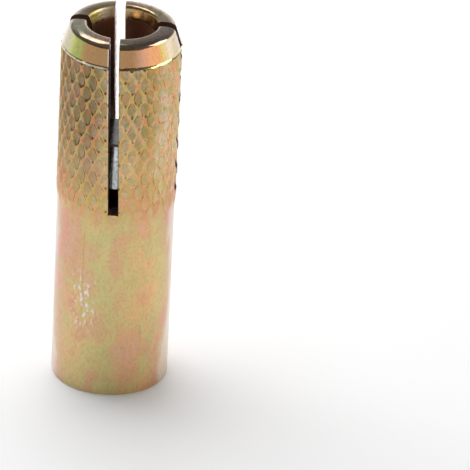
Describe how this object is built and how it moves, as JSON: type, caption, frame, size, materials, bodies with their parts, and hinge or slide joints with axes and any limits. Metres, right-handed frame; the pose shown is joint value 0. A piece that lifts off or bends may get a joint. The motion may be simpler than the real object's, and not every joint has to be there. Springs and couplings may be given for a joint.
{
  "type": "drop-in anchor",
  "caption": "Slim steel sleeve with a threaded mouth, a knurled half split into legs by crossed slots, and a loose cone inside that spreads the legs in a drilled hole.",
  "frame": {"origin": "centre of the flat threaded end face, on the sleeve's axis", "axes": "+Z along the sleeve's axis from the threaded end to the split tip; the slots lie close to the XZ and YZ planes"},
  "size_m": [0.0124, 0.0124, 0.04],
  "materials": {
    "yellow_zinc": "yellow zinc plating with a faint rainbow film",
    "blue_zinc": "clear blue-white zinc plating"
  },
  "bodies": {
    "sleeve": {"sleeve": "yellow_zinc"},
    "plug": {"expander_plug": "blue_zinc"}
  },
  "joints": [
    {"name": "plug_slide", "type": "slide", "parent": "sleeve", "child": "plug", "axis": [0, 0, 1], "range_m": [0, 0.003]}
  ]
}
